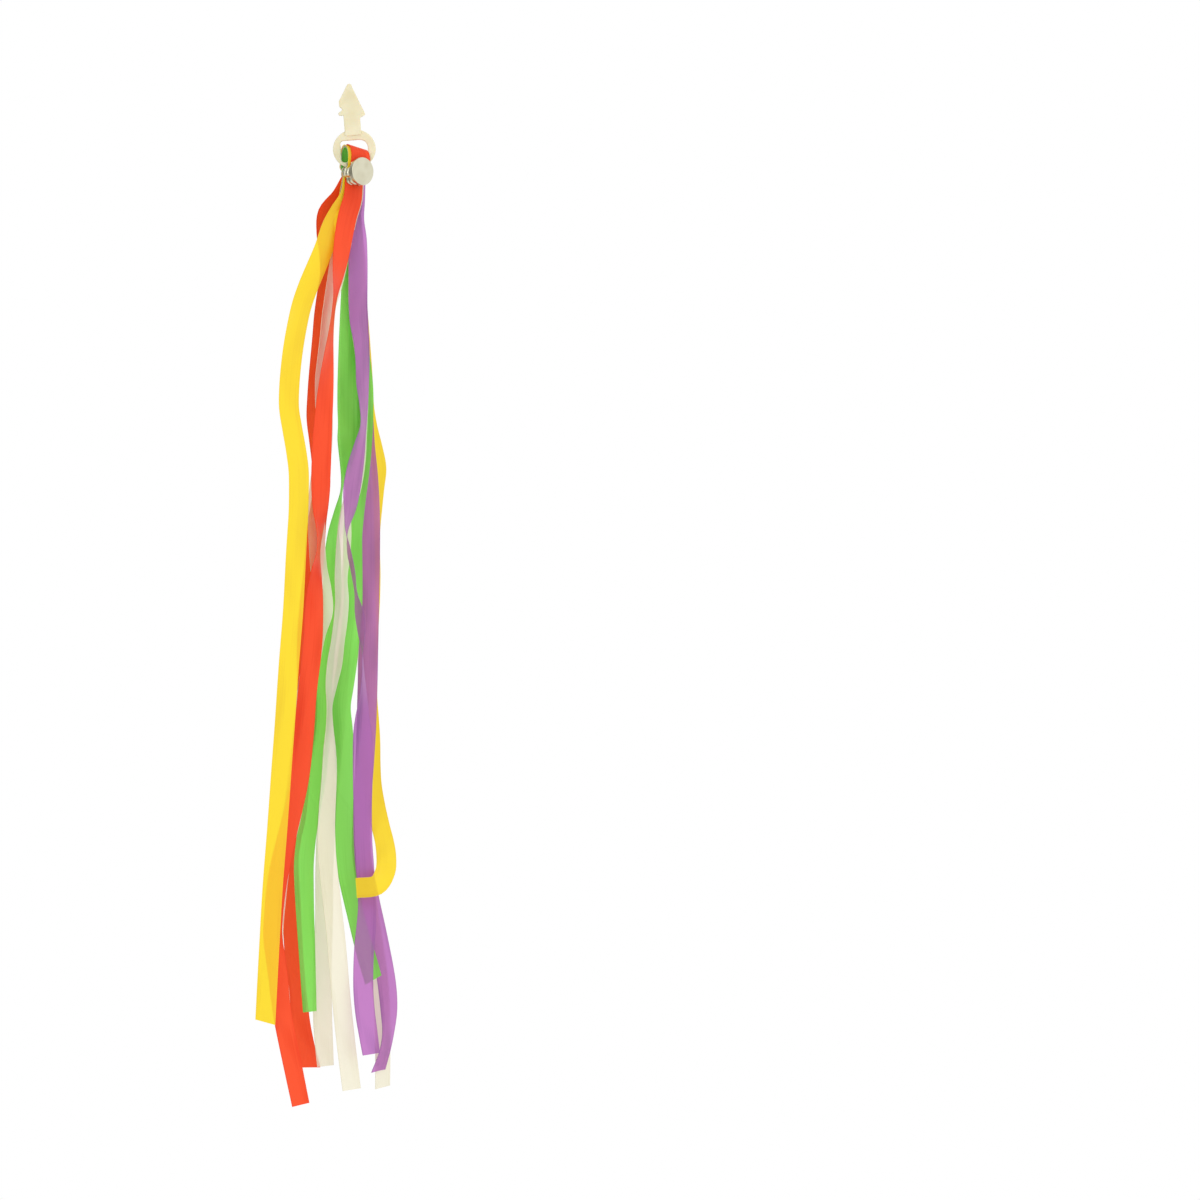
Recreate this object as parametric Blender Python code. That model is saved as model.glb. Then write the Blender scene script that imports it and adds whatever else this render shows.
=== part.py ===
"""Handlebar streamer: a barbed push-in plug whose ring carries six film ribbons.

Each ribbon is folded in half over the ring's lower bar, and one snap rivet pins all the layers together just
under it, so every ribbon has a front tail and a rear tail. Millimetres inside, metres in Blender, +Z up.
The origin is on the plug's axis, at the shoulder where its stem meets its ring; +Y points away from the front.
"""

import math

import bmesh
import bpy
import numpy as np

MM = 0.001

# Plug: one flat plastic moulding, leaning a little to one side.
PLUG_LEAN = 4.6  # degrees, in its own plane
STEM_THICK = 3.0
RING_THICK = 1.8
RING_HALF_WIDE = 7.5
RING_HALF_TALL = 6.9
RING_DROP = 6.7  # from the shoulder down to the ring's centre
EYE_WIDTH = 9.5
EYE_TOP_DROP = 3.6  # from the shoulder down to the eye's flat top, along the plug
EYE_TOP_ROUND = 2.8  # the right shoulder; the left is as tight as the foot
EYE_FOOT_ROUND = 1.0
BAR_HEIGHT = 2.5  # what is left of the ring under the eye
STEM_HALF = 2.85
STEM_LENGTH = 4.7
STEM_FOOT = 2.0  # how far the stem runs down into the ring
BARB_SLOPE = 0.6
BARB_HALF = 4.7  # how far the right barb stands from the middle
LOWER_BARB_HALF = 4.6
LOWER_BARB_UP = 6.0
UPPER_BARB_HALF = 4.1
UPPER_BARB_UP = 8.7  # from the shoulder up to the upper left barb's middle
NOTCH_HALF = 3.1
BARB_ROUND = 0.7
HEAD_TALL = 16.2  # from the shoulder up to the point
POINT_ROUND = 0.9
POINT_SHOULDER = 0.3  # how far below the point's round its straight sides end
UPPER_BARB_TALL = 1.6  # above and below its middle
PLUG_EDGE = 0.35  # rounding of the moulding's edges

# Film ribbons.
RIBBON_WIDTH = 7.0
FILM_THICK = 0.2
LAYER_GAP = 0.15
STATION = 7.5  # spacing of the sections along a tail

# Loop and clamp: they share one axis, turned from the plug's front face by CLAMP_TURN.
CLAMP_TURN = 30.0
CLAMP_X = 0.7
LOOP_CENTRE_Z = -12.4
LOOP_INNER_RADIUS = 3.6
RIVET_Z = -15.4
LEG_END_Z = -20.4
TAIL_GAP = 0.5  # between a leg's end and its tail
TAIL_STRAIGHT = 1.5  # how far a tail runs straight down before its route begins
POST_RADIUS = 1.1
POST_CLEARANCE = 0.2
CAP_RADIUS = 4.9
CAP_TALL = 1.3
POST_TIP_SHARE = 0.3  # how far up inside the cap the post reaches, as a share of the cap's height
CAP_RIM = 0.35
PRONG_RING_RADIUS = 4.4
PRONG_REACH = 0.8
PRONG_COUNT = 6
PRONG_THICK = 0.4
SOCKET_RADIUS = 3.0
SOCKET_TALL = 1.3
KNOB_RADIUS = 1.8
KNOB_TALL = 1.0
CLEARANCE = 0.2

# Outermost ribbon first: the order in which they lie on the loop.
RIBBONS = ("red", "yellow", "white_a", "purple", "white_b", "green")
COLOURS = {
    "red": (1.0, 0.09, 0.03),
    "yellow": (0.95, 0.70, 0.04),
    "green": (0.23, 0.65, 0.12),
    "purple": (0.50, 0.20, 0.48),
    "white_a": (0.90, 0.86, 0.69),
    "white_b": (0.90, 0.86, 0.69),
}

# Each tail's route below the clamp, chosen point by point: x, depth y and height z of its middle, then the
# angle that its width makes with +X about the vertical, and last how far its width rises out of the level.
ROUTES = {
    "red_front": (
        (1.2, -6.2, -26.5, 30), (-1.6, -9, -34.5, 30), (-4, -12, -46, 45), (-5.6, -14.8, -58.5, 78),
        (-7, -17.4, -72, 75), (-8.2, -19.4, -85, 55), (-9.5, -20, -101, 32), (-10.5, -19, -122, 22),
        (-10.8, -18, -136, 55), (-11, -18, -144.5, 82), (-12, -18, -152.5, 65), (-12.8, -18, -165, 32),
        (-13.3, -18, -178.5, 20), (-15.5, -17, -199, 25), (-16.8, -16, -214, 5), (-18.5, -16, -230, 25),
        (-22, -16.5, -245, 25), (-25.3, -17, -260, 10), (-26.8, -18, -272, 25), (-27.2, -18, -282, 25),
        (-25.8, -18, -292, 20), (-24, -18, -308, 25), (-20.8, -18, -324, 25), (-17.5, -18, -340, 30),
    ),
    "yellow_front": (
        (1.6, -5.1, -25, 30), (-1, -7, -29, 30), (-4.4, -9.5, -33.5, 30), (-7.6, -11.6, -38.5, 28),
        (-10.4, -12.6, -44, 20), (-13.8, -13, -52, 8), (-17, -12.5, -60.5, 0), (-19.5, -14, -72, 0), (-21.2, -17, -86, 5),
        (-21.5, -19.5, -98, 10), (-19.8, -21, -108, 5), (-18.2, -22, -118, -5), (-18, -22.5, -129.5, -10),
        (-19, -22.5, -149, 0), (-20, -22, -168, 10), (-21.5, -22, -187, 5), (-22.7, -22, -205, -5),
        (-24.1, -22, -224, 0), (-25.6, -22, -245, 5), (-27, -22.5, -263, 0), (-28.2, -23, -284, -5),
        (-29, -23, -299, 0), (-29.6, -23, -311, 5),
    ),
    "white_a_front": (
        (0.9, -5.3, -27, 30), (-2.7, -7.4, -42, 30), (-5.3, -9.5, -56, 44), (-7.4, -11.8, -65, 62),
        (-8.1, -13, -75, 58), (-9.1, -14, -88, 42), (-9.4, -14.8, -105, 34), (-10.4, -14.4, -117, 32),
        (-11.9, -14, -130, 30), (-12, -14, -145, 40), (-11, -14, -157, 32), (-9.6, -14, -166, 15),
        (-12.2, -14, -177, 30), (-15, -13.5, -192, 25), (-17.5, -12.5, -215, 22), (-20.5, -12.5, -238, 22),
        (-24.5, -13, -255.5, 22), (-26.3, -14, -271, 25), (-27, -14, -283.5, 28), (-25.3, -14, -297, 28),
        (-24.3, -14, -307, 32),
    ),
    "purple_front": (
        (1.7, -4.4, -28, 29), (2, -4.3, -40, 26), (2, -4.7, -51, 22), (2.2, -6, -66.5, 24),
        (3.5, -8, -77, 45), (3.7, -10, -89, 56), (4, -13, -105, 74), (2.2, -13.5, -113.5, 50),
        (0.3, -12.5, -124, 32), (-0.6, -12, -133, 55), (-1.8, -12, -142.5, 90), (0, -12, -151.5, 104),
        (1.2, -12, -160.5, 98), (3, -11.5, -171.5, 122), (3.7, -11, -183, 94), (4, -10.5, -196, 78),
        (3.6, -9.5, -205, 50), (3.7, -7.5, -219, 5), (3.6, -5, -234.5, 25), (3.8, -3, -248.5, 32),
        (4.6, -2, -262.5, 28), (5, -3, -275, 30), (4.2, -5, -285, 5), (4, -7, -303, 5),
        (6.7, -8, -323, 32),
    ),
    "white_b_front": (
        (1.1, -4.2, -28, 30), (1.5, -3.3, -45.5, 30), (1.8, -2.8, -63, 32), (3, -3, -77, 50),
        (3.8, -3.2, -91, 62), (4, -3, -105, 74), (2.5, -4, -115.5, 55), (0.4, -5, -126, 45),
        (-2.5, -6, -136, 58), (-2.9, -6, -145, 45), (-3.9, -6, -156, 54), (-3.6, -6, -166, 50),
        (-5, -6, -178.5, 50), (-6.7, -6, -190.5, 45), (-7.8, -6, -198, 68), (-7.9, -6, -205, 77),
        (-7.9, -6, -213.5, 60), (-8, -6, -225.5, 45), (-8.9, -6, -239.5, 38), (-8.9, -6, -252, 30),
        (-7.5, -6, -266, 28), (-5.6, -6, -283.5, 25), (-4.1, -6, -301, 25), (-2.3, -6, -318.5, 25),
        (-0.2, -6, -335.5, 28),
    ),
    "green_front": (
        (0.9, -3.7, -28, 30), (-0.3, -3.1, -47, 24), (-0.8, -2, -61, 12), (-1.5, -1.5, -77, 10),
        (-1.9, -1.5, -93, 5), (-1.8, -1.4, -105, -8), (-2.2, -2, -112.5, 42), (-3, -2, -118.5, 72),
        (-3.5, -2, -123.5, 88), (-4.7, -2, -131, 76), (-6.6, -2, -140, 62), (-7, -2, -150.5, 35),
        (-7.4, -2, -164.5, 20), (-9.1, -2, -178.5, 20), (-10.7, -2, -196, 22), (-11.5, -2, -213.5, 15),
        (-13, -2, -229, 20), (-15.5, -2, -243, 20), (-17, -2, -255.5, 10), (-16.8, -2, -269.5, 25),
        (-16, -2, -287, 38), (-15, -2, -308.5, 52),
    ),
    "green_rear": (
        (-0.6, 3.4, -28, 30), (0.5, 3.2, -47, 28), (1, 2.7, -63, 24), (2, 2.5, -75, 20),
        (3.5, 2.5, -89, 10), (3.4, 2, -105, 0), (2.5, 2, -117, 5), (1, 2, -129.5, 15),
        (-0.1, 2, -142, 20), (0.1, 2, -154, 25), (0, 2, -166, 25), (-1.1, 2, -178.5, 22),
        (-2.8, 2, -192, 10), (-4.1, 2, -201, 22), (-3.1, 2, -213.5, 20), (-2.9, 2, -231, 32),
        (-3, 1.5, -248.5, 25), (-2, 1, -261, 30), (0, 1, -271, 36), (2.2, 1, -280, 35),
        (4.7, 0.5, -289, 25), (7.2, 0, -297.5, 28),
    ),
    "white_b_rear": (
        (-0.8, 4, -28, 30), (-0.3, 4.5, -47, 30), (-1, 5, -66.5, 30), (-1.5, 5.4, -87.5, 30),
        (-1.4, 6, -108.5, 30), (0, 6, -126, 38), (-0.5, 6, -143.5, 35), (-1.2, 6, -161, 30),
        (-3.5, 6, -178.5, 30), (-5.2, 6, -196, 30), (-6.5, 6, -212, 30), (-8.2, 6, -227.5, 28),
        (-9.5, 6, -243, 28), (-10.2, 6, -259, 28), (-10.3, 6, -275, 30), (-10.8, 6, -293, 28),
        (-10.8, 6, -311.5, 22), (-9.8, 6, -328, 38),
    ),
    "purple_rear": (
        (-0.5, 4.7, -28, 30), (1, 6.3, -47, 30), (2, 8.4, -66.5, 32), (2.6, 10, -84, 32),
        (3.5, 10.6, -98, 28), (4.2, 10.6, -110, 28), (5.4, 10.4, -121.5, 28), (6, 10, -136.5, 25),
        (5.9, 10, -154, 28), (5.6, 10, -170, 28), (5.1, 10, -184, 15), (4.7, 10, -199.5, 5),
        (4.1, 9.5, -217, 20), (3.1, 7.7, -234.5, 28), (3.1, 5.3, -255.5, 25), (5.8, 5.3, -269.5, 25),
        (9, 5.7, -284, 25), (11.3, 6.5, -296.5, 25), (12.3, 8, -306, 30), (12.3, 9, -314.5, 52),
        (11.5, 10, -321, 60), (10.1, 10, -325.5, 55), (8.6, 10, -330, 52),
    ),
    "white_a_rear": (
        (-1, 5, -28, 30), (-0.2, 7.2, -47, 30), (0.5, 10, -66.5, 30), (1.5, 12.6, -87.5, 30),
        (2.6, 14, -108.5, 30), (3.6, 14, -129.5, 30), (4.1, 14, -150.5, 28), (4.4, 14, -171.5, 28),
        (4.5, 14, -192.5, 25), (4, 13.5, -213.5, 28), (3, 11, -234.5, 28), (3, 9, -255.5, 28),
        (5, 9.2, -271, 32), (7.5, 10, -287, 34), (9.6, 11.5, -304.5, 38), (10.1, 13, -322, 42),
        (10, 14, -336, 44),
    ),
    "yellow_rear": (
        (-1.4, 5.2, -28, 30), (0.2, 8.6, -47, 30), (2, 12.4, -66.5, 33), (3.5, 15.4, -84, 40),
        (4.7, 17.4, -99, 44), (6.6, 18, -108.5, 40), (8.3, 18.3, -116, 38), (7.5, 18.5, -126, 40),
        (6, 18.5, -140, 35), (5.9, 18.5, -157.5, 28), (5, 18.5, -178.5, 22), (4.6, 18.5, -196, 22),
        (5.7, 18, -212, 25), (6.5, 16.4, -231, 25), (9, 13.9, -243, 25), (10.9, 9.2, -250, 20),
        (11.6, 4.2, -255, 8), (11.4, -0.8, -259.3, 0, -6), (10, -4.9, -262.8, 0, -38),
        (6.8, -7.2, -264.9, 0, -76), (3.8, -7.8, -265.1, 0, -88), (1.4, -8, -265, 0, -92),
    ),
    "red_rear": (
        (-4.4, 4, -25, 30), (-7, 3.4, -30, 30), (-8.2, 5, -38.5, 30), (-8.6, 7.4, -48, 30),
        (-10.5, 11, -61, 28), (-11.7, 14.6, -74, 28), (-13.5, 18.2, -90, 36), (-14, 20, -100, 35),
        (-12.6, 21.2, -111, 30), (-11.7, 22, -123, 30), (-13.5, 22.5, -138, 20), (-14.7, 22.5, -154, 10),
        (-16.5, 22, -171.5, 5), (-17, 21.5, -191, 10), (-16.7, 21, -206.5, 20), (-19, 21, -224, 20),
        (-20.3, 21.5, -239.5, 25), (-23.1, 22, -255.5, 28), (-22.6, 22, -269.5, 25),
        (-21.7, 22, -287, 22), (-20.1, 22, -306, 22), (-18.3, 22, -318.5, 20), (-15.6, 22, -329.5, 22),
    ),
}

TURN = math.radians(CLAMP_TURN)
ACROSS = np.array((math.cos(TURN), math.sin(TURN), 0.0))  # along the ribbons' width at the clamp
OUTWARD = np.array((math.sin(TURN), -math.cos(TURN), 0.0))  # along the rivet, towards its cap
UP = np.array((0.0, 0.0, 1.0))
LAYER_PITCH = FILM_THICK + LAYER_GAP
OUTER_LOOP_RADIUS = LOOP_INNER_RADIUS + (len(RIBBONS) - 1) * LAYER_PITCH
STACK_HALF = OUTER_LOOP_RADIUS + FILM_THICK / 2 + CLEARANCE


def clear_scene():
    for item in list(bpy.data.objects):
        bpy.data.objects.remove(item, do_unlink=True)


def material(name, colour, roughness, metallic=0.0):
    made = bpy.data.materials.get(name) or bpy.data.materials.new(name)
    made.use_nodes = True
    shader = made.node_tree.nodes["Principled BSDF"]
    shader.inputs["Base Color"].default_value = (*colour, 1.0)
    shader.inputs["Roughness"].default_value = roughness
    shader.inputs["Metallic"].default_value = metallic
    return made


def add_object(name, mesh, finish):
    made = bpy.data.objects.new(name, mesh)
    mesh.materials.append(finish)
    bpy.context.scene.collection.objects.link(made)
    return made


def mesh_of(name, points, faces):
    """A mesh from points in millimetres, its faces turned to point outwards."""
    mesh = bpy.data.meshes.new(name)
    mesh.from_pydata([tuple(p) for p in np.asarray(points) * MM], [], faces)
    shell = bmesh.new()
    shell.from_mesh(mesh)
    bmesh.ops.recalc_face_normals(shell, faces=shell.faces)
    shell.to_mesh(mesh)
    shell.free()
    return mesh


def boolean(target, cutter, operation):
    step = target.modifiers.new(cutter.name, "BOOLEAN")
    step.operation = operation
    step.object = cutter
    step.solver = "EXACT"
    cutter.hide_render = True
    cutter.display_type = "WIRE"


def bevel(target, width, angle=40.0):
    step = target.modifiers.new("edges", "BEVEL")
    step.width = width * MM
    step.segments = 2
    step.limit_method = "ANGLE"
    step.angle_limit = math.radians(angle)


def on_clamp(along_width, outward, up):
    """Points of the clamp's own frame, whose middle is on the rivet's axis at the loop's centre, in the part's."""
    centre = np.array((CLAMP_X, 0.0, 0.0))
    return (
        centre
        + np.multiply.outer(along_width, ACROSS)
        + np.multiply.outer(outward, OUTWARD)
        + np.multiply.outer(up, UP)
    )


# ---------------------------------------------------------------- plug


def plug_point(across, up):
    """A point in the plug's own plane, leaned about the shoulder."""
    lean = math.radians(PLUG_LEAN)
    x = across * math.cos(lean) - up * math.sin(lean)
    z = across * math.sin(lean) + up * math.cos(lean)
    return x, z


def plate(name, outline, thick, finish):
    """A flat plate: the outline (across, up) in the plug's plane, thick through Y."""
    count = len(outline)
    flat = [plug_point(*p) for p in outline]
    points = [(x, y, z) for y in (-thick / 2, thick / 2) for x, z in flat]
    sides = [(i, (i + 1) % count, count + (i + 1) % count, count + i) for i in range(count)]
    faces = [tuple(range(count)), tuple(range(2 * count - 1, count - 1, -1)), *sides]
    return add_object(name, mesh_of(name, points, faces), finish)


def arc(centre, radius, start, end, steps):
    angles = np.radians(np.linspace(start, end, steps + 1))
    return [(centre[0] + radius * math.cos(a), centre[1] + radius * math.sin(a)) for a in angles]


def head_outline():
    """The head, anticlockwise from the right foot: one deep barb on the right, two shallow ones on the left."""
    barb_foot = STEM_LENGTH - BARB_SLOPE
    point_foot = HEAD_TALL - POINT_ROUND
    right = [
        (STEM_HALF, -STEM_FOOT),
        (STEM_HALF, barb_foot),
        *arc((BARB_HALF - BARB_ROUND, STEM_LENGTH + BARB_ROUND), BARB_ROUND, -70, 25, 5),
        (POINT_ROUND, point_foot - POINT_SHOULDER),
    ]
    top = arc((0.0, point_foot), POINT_ROUND, 25, 155, 5)
    left = [
        (-UPPER_BARB_HALF, UPPER_BARB_UP + UPPER_BARB_TALL),
        *arc((-UPPER_BARB_HALF + BARB_ROUND, UPPER_BARB_UP), BARB_ROUND, 160, 270, 4),
        (-NOTCH_HALF, UPPER_BARB_UP - UPPER_BARB_TALL),
        *arc((-LOWER_BARB_HALF + BARB_ROUND, LOWER_BARB_UP), BARB_ROUND, 150, 270, 5),
        (-STEM_HALF, LOWER_BARB_UP - BARB_ROUND),
        (-STEM_HALF, -STEM_FOOT),
    ]
    return right + top + left


def make_plug():
    finish = material("moulded_plastic", (0.86, 0.80, 0.60), 0.35)
    plug = plate("barbed_plug", head_outline(), STEM_THICK, finish)
    bevel(plug, PLUG_EDGE)
    around = arc((0, 0), 1, 0, 352.5, 47)
    oval = [(RING_HALF_WIDE * x, RING_HALF_TALL * z - RING_DROP) for x, z in around]
    ring = plate("ring_blank", oval, RING_THICK, finish)
    eye_foot = -RING_DROP - RING_HALF_TALL + BAR_HEIGHT
    half = EYE_WIDTH / 2
    corner = EYE_FOOT_ROUND
    shoulder = EYE_TOP_ROUND
    eye = (
        arc((half - corner, eye_foot + corner), corner, -90, 0, 3)
        + arc((half - shoulder, -EYE_TOP_DROP - shoulder), shoulder, 0, 90, 6)
        + arc((-half + corner, -EYE_TOP_DROP - corner), corner, 90, 180, 4)
        + arc((-half + corner, eye_foot + corner), corner, 180, 270, 3)
    )
    cutter = plate("eye_cutter", eye, 3 * STEM_THICK, finish)
    boolean(ring, cutter, "DIFFERENCE")
    bevel(ring, PLUG_EDGE)
    boolean(plug, ring, "UNION")


# ---------------------------------------------------------------- rivet


def turned(name, profile, finish, sides=32):
    """A piece turned about the rivet's axis, from (radius, outward) points that run from axis to axis."""
    angles = np.linspace(0, 2 * math.pi, sides, endpoint=False)
    points = []
    rings = []
    for radius, outward in profile:
        count = 1 if radius == 0 else sides
        rings.append(list(range(len(points), len(points) + count)))
        spots = angles[:count]
        points.extend(
            on_clamp(radius * np.cos(spots), np.full(count, outward), RIVET_Z + radius * np.sin(spots))
        )
    faces = []
    for low, high in zip(rings, rings[1:]):
        for i in range(sides):
            j = (i + 1) % sides
            face = [low[i % len(low)], low[j % len(low)], high[j % len(high)], high[i % len(high)]]
            faces.append(list(dict.fromkeys(face)))
    return add_object(name, mesh_of(name, points, faces), finish)


def bored(name, outline_radius, start, end, bore, finish, sides=48):
    """A washer about the rivet's axis whose outer radius is a function of the angle."""
    angles = np.linspace(0, 2 * math.pi, sides, endpoint=False)
    outer = outline_radius(angles)
    points = []
    for outward in (start, end):
        for radius in (outer, np.full(sides, bore)):
            points.extend(
                on_clamp(radius * np.cos(angles), np.full(sides, outward), RIVET_Z + radius * np.sin(angles))
            )
    faces = []
    for i in range(sides):
        j = (i + 1) % sides
        a, b, c, d = (k * sides for k in range(4))
        faces += [(a + i, a + j, b + j, b + i), (c + i, c + j, d + j, d + i)]
        faces += [(a + i, a + j, c + j, c + i), (b + i, b + j, d + j, d + i)]
    return add_object(name, mesh_of(name, points, faces), finish)


def make_rivet():
    metal = material("plated_metal", (0.76, 0.72, 0.60), 0.28, 1.0)
    prong_back = STACK_HALF
    prong_front = prong_back + PRONG_THICK
    cap_back = prong_front + CLEARANCE
    cap_front = cap_back + CAP_TALL
    bore = POST_RADIUS + POST_CLEARANCE

    def lobed(angles):
        wave = np.clip(np.cos(PRONG_COUNT * angles), 0, 1)
        return PRONG_RING_RADIUS + PRONG_REACH * wave

    bored("prong_ring", lobed, prong_back, prong_front, bore, metal)
    turned(
        "snap_cap",
        (
            (0, cap_front - 2 * CAP_RIM),
            (POST_RADIUS + CLEARANCE, cap_front - 2 * CAP_RIM),
            (POST_RADIUS + CLEARANCE, cap_back),
            (CAP_RADIUS - CAP_RIM, cap_back),
            (CAP_RADIUS, cap_back + CAP_RIM),
            (CAP_RADIUS, cap_front - CAP_RIM),
            (CAP_RADIUS - CAP_RIM, cap_front),
            (0, cap_front),
        ),
        metal,
        40,
    )
    socket_back = -STACK_HALF - SOCKET_TALL
    bored("snap_socket", lambda a: np.full(len(a), SOCKET_RADIUS), socket_back, -STACK_HALF, bore, metal, 32)
    post_tip = cap_back + POST_TIP_SHARE * CAP_TALL
    knob_front = socket_back - CLEARANCE
    turned(
        "rivet_post",
        (
            (0, knob_front - KNOB_TALL),
            (KNOB_RADIUS, knob_front - KNOB_TALL),
            (KNOB_RADIUS, knob_front),
            (POST_RADIUS, knob_front),
            (POST_RADIUS, post_tip),
            (0, post_tip),
        ),
        metal,
        24,
    )


# ---------------------------------------------------------------- ribbons


def strip(name, middles, widths, normals, finish):
    """A film strip: a thin rectangle carried along the middles, closed at both ends.

    Both skins are split along the same diagonal, from the right edge to the next section's left edge, so that a
    twisted strip keeps its thickness.
    """
    half_width = widths * RIBBON_WIDTH / 2
    half_thick = normals * FILM_THICK / 2
    corners = np.stack(
        (
            middles - half_width - half_thick,
            middles + half_width - half_thick,
            middles + half_width + half_thick,
            middles - half_width + half_thick,
        ),
        axis=1,
    )
    count = len(middles)
    faces = [(0, 1, 2, 3), tuple(4 * (count - 1) + i for i in (3, 2, 1, 0))]
    for k in range(0, 4 * (count - 1), 4):
        for i in range(4):
            j = (i + 1) % 4
            a, b, c, d = k + i, k + j, k + 4 + j, k + 4 + i
            faces += [(a, b, d), (b, c, d)] if i == 0 else [(a, b, c), (a, c, d)]
    return add_object(name, mesh_of(name, corners.reshape(-1, 3), faces), finish)


def make_loop(ribbon, radius, finish):
    """Two straight legs joined by half a circle over the bar, pierced where the post passes."""
    bend = np.radians(np.linspace(0, 180, 17))
    outward = np.concatenate(([radius], radius * np.cos(bend), [-radius]))
    up = np.concatenate(([LEG_END_Z], LOOP_CENTRE_Z + radius * np.sin(bend), [LEG_END_Z]))
    middles = on_clamp(np.zeros(len(up)), outward, up)
    facing = np.concatenate(([0.0], bend, [math.pi]))
    normals = np.outer(np.cos(facing), OUTWARD) + np.outer(np.sin(facing), UP)
    loop = strip(f"{ribbon}_loop", middles, np.tile(ACROSS, (len(up), 1)), normals, finish)
    boolean(loop, bpy.data.objects["post_hole"], "DIFFERENCE")


def make_post_hole():
    reach = OUTER_LOOP_RADIUS + 2
    bore = POST_RADIUS + POST_CLEARANCE
    finish = material("cutter", (0.5, 0.5, 0.5), 0.5)
    profile = ((0, -reach), (bore, -reach), (bore, reach), (0, reach))
    cutter = turned("post_hole", profile, finish, 12)
    cutter.hide_render = True
    cutter.display_type = "WIRE"


def smooth_route(points, step):
    """Cubic curve through the points, by chord length, read every step: one row per section."""
    knots = np.array(points, float)
    chord = np.linalg.norm(np.diff(knots[:, :3], axis=0), axis=1)
    at = np.concatenate(([0.0], np.cumsum(chord)))
    slope = np.gradient(knots, at, axis=0)
    count = int(math.ceil(at[-1] / step)) + 1
    where = np.linspace(0, at[-1], count)
    span = np.clip(np.searchsorted(at, where, side="right") - 1, 0, len(chord) - 1)
    length = chord[span][:, None]
    t = ((where - at[span]) / chord[span])[:, None]
    return (
        (2 * t**3 - 3 * t**2 + 1) * knots[span]
        + (t**3 - 2 * t**2 + t) * length * slope[span]
        + (3 * t**2 - 2 * t**3) * knots[span + 1]
        + (t**3 - t**2) * length * slope[span + 1]
    )


def make_tail(ribbon, side, radius, finish):
    start = on_clamp(0.0, radius if side == "front" else -radius, LEG_END_Z - TAIL_GAP)
    route = [(*start, CLAMP_TURN, 0.0), (*(start - TAIL_STRAIGHT * UP), CLAMP_TURN, 0.0)]
    route += [(*p, 0.0)[:5] for p in ROUTES[f"{ribbon}_{side}"]]
    rows = smooth_route(route, STATION)
    middles = rows[:, :3]
    turn, rise = np.radians(rows[:, 3]), np.radians(rows[:, 4])
    along = np.gradient(middles, axis=0)
    along[0] = -UP  # the tail leaves its leg square
    along /= np.linalg.norm(along, axis=1, keepdims=True)
    widths = np.column_stack((np.cos(turn) * np.cos(rise), np.sin(turn) * np.cos(rise), np.sin(rise)))
    widths -= along * (widths * along).sum(axis=1, keepdims=True)
    widths /= np.linalg.norm(widths, axis=1, keepdims=True)
    strip(f"{ribbon}_tail_{side}", middles, widths, np.cross(along, widths), finish)


def main():
    clear_scene()
    make_plug()
    make_rivet()
    make_post_hole()
    for place, ribbon in enumerate(RIBBONS):
        finish = material(f"film_{ribbon}", COLOURS[ribbon], 0.3)
        radius = OUTER_LOOP_RADIUS - place * LAYER_PITCH
        make_loop(ribbon, radius, finish)
        make_tail(ribbon, "front", radius, finish)
        make_tail(ribbon, "rear", radius, finish)


main()
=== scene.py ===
"""Handlebar streamer, dressed: film ribbons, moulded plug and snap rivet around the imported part.

Millimetres in the working, metres in the meshes, +Z up, -Y towards the viewer.
"""

import math

import bpy
import numpy as np
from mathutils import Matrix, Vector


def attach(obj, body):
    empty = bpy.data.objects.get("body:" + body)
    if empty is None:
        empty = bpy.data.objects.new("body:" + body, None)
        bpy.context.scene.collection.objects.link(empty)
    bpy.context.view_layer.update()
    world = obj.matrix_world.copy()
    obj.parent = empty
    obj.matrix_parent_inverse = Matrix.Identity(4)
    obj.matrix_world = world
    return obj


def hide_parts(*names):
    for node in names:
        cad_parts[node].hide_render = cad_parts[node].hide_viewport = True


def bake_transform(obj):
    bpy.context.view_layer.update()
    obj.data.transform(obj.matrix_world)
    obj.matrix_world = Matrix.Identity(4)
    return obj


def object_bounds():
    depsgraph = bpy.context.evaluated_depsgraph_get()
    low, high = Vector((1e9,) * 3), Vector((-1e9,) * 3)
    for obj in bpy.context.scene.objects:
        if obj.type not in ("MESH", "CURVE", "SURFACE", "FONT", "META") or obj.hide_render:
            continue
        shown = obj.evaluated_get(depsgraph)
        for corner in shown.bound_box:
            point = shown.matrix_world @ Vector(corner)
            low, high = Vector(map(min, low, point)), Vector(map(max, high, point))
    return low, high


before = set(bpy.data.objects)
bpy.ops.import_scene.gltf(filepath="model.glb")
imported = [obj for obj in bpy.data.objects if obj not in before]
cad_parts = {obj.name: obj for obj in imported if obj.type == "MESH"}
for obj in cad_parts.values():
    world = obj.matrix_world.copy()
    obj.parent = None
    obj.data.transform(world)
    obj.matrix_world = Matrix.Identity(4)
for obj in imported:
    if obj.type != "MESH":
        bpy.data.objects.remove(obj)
CAD_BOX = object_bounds()
MM = 0.001

# The maker's sizes, as in the part.
RIBBON_WIDTH = 7.0
FILM_THICK = 0.16
CLAMP_TURN = 30.0
CLAMP_X = 0.7
LOOP_INNER_RADIUS = 3.6
LAYER_PITCH = 0.35
RIVET_Z = -15.4
LEG_END_Z = -20.4
TAIL_GAP = 0.5
STATION = 7.5
CAP_RADIUS = 4.9
SECTION = 1.5  # spacing of the film's sections along a ribbon
ACROSS_STEPS = 11  # points across a ribbon's width
BEND_STEPS = 41  # sections round a loop's fold
LEG_STEPS = 12  # sections down each of its legs
FILM_ROUGH = 0.36

# Outermost ribbon first, as they lie on the loop.
RIBBONS = ("red", "yellow", "white_a", "purple", "white_b", "green")

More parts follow.
